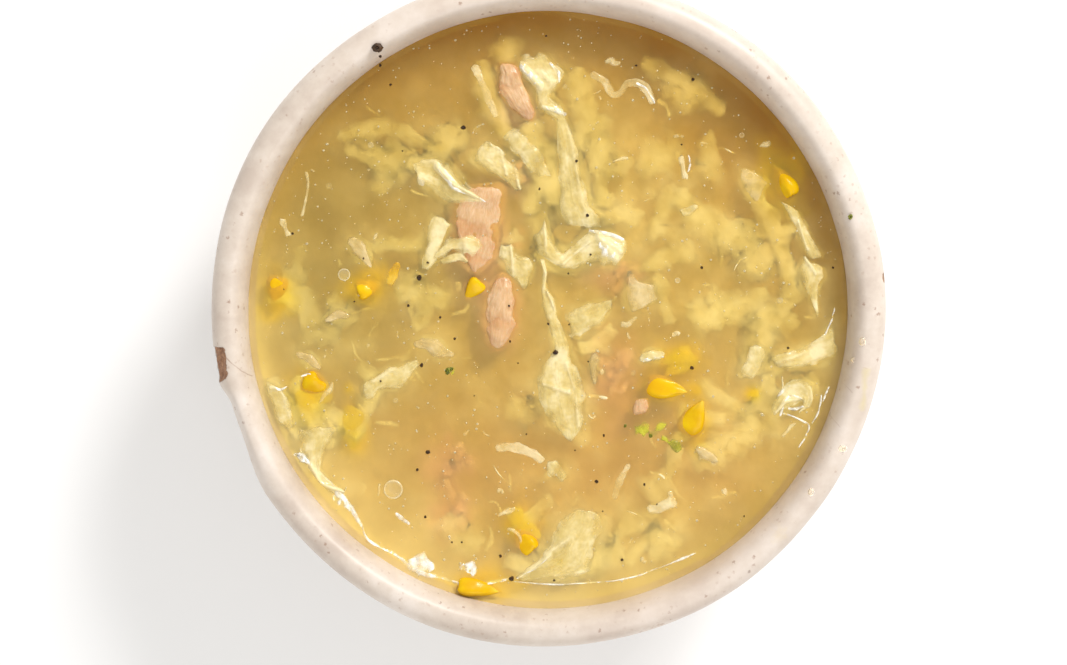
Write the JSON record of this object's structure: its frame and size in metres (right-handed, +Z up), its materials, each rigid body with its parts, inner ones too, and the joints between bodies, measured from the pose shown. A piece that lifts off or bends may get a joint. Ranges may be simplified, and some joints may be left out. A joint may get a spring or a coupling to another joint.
{
  "type": "bowl of chicken vegetable soup",
  "caption": "Round glazed stoneware bowl on a foot ring, filled almost to its thick rim with cloudy broth in which torn cabbage, shredded chicken and sweetcorn float.",
  "frame": {"origin": "on the table under the middle of the bowl, at the underside of the foot ring", "axes": "+Z up; +Y towards the top of the picture; +X towards its right"},
  "size_m": [0.16, 0.16, 0.064],
  "materials": {
    "glazed_stoneware": "glossy pale cream glaze over brown clay",
    "broth": "wet, cloudy and shiny",
    "cabbage": "wet, pale yellow and translucent",
    "flake": "wet and pale",
    "strand": "wet and pale",
    "chicken": "wet, pale pinkish beige and fibrous",
    "sweetcorn": "wet, shiny and bright yellow",
    "green_onion": "wet and olive green"
  },
  "bodies": {
    "root": {"bowl": "glazed_stoneware", "broth": "broth", "cabbage_top_fold": "cabbage", "cabbage_tangle": "cabbage", "cabbage_angular": "cabbage", "cabbage_curl": "cabbage", "cabbage_tapered": "cabbage", "cabbage_crumple": "cabbage", "cabbage_folded": "cabbage", "cabbage_short": "cabbage", "cabbage_long": "cabbage", "cabbage_bent": "cabbage", "cabbage_by_wall": "cabbage", "cabbage_low_wall": "cabbage", "cabbage_big_leaf": "cabbage", "cabbage_right_strip": "cabbage", "cabbage_right_scrap": "cabbage", "cabbage_right_curl": "cabbage", "cabbage_side_strip": "cabbage", "cabbage_side_leaf": "cabbage", "cabbage_glint": "cabbage", "cabbage_knot": "cabbage", "cabbage_small_curl": "cabbage", "flake_right": "flake", "flake_centre": "flake", "flake_left": "flake", "flake_curl": "flake", "flake_upper_left": "flake", "flake_far_left": "flake", "flake_by_corn": "flake", "flake_low_right": "flake", "strand_squiggle": "strand", "strand_low": "strand", "strand_right": "strand", "strand_pale": "strand", "corn_skin": "sweetcorn", "onion_sliver": "green_onion", "chicken_knob": "chicken", "chicken_large": "chicken", "chicken_lower": "chicken", "chicken_scrap": "chicken", "corn_left": "sweetcorn", "corn_on_chicken": "sweetcorn", "corn_upper_right": "sweetcorn", "corn_wedge": "sweetcorn", "corn_upright": "sweetcorn", "corn_bottom": "sweetcorn", "corn_by_wall": "sweetcorn", "corn_low_left": "sweetcorn", "corn_far_left": "sweetcorn"}
  },
  "joints": []
}
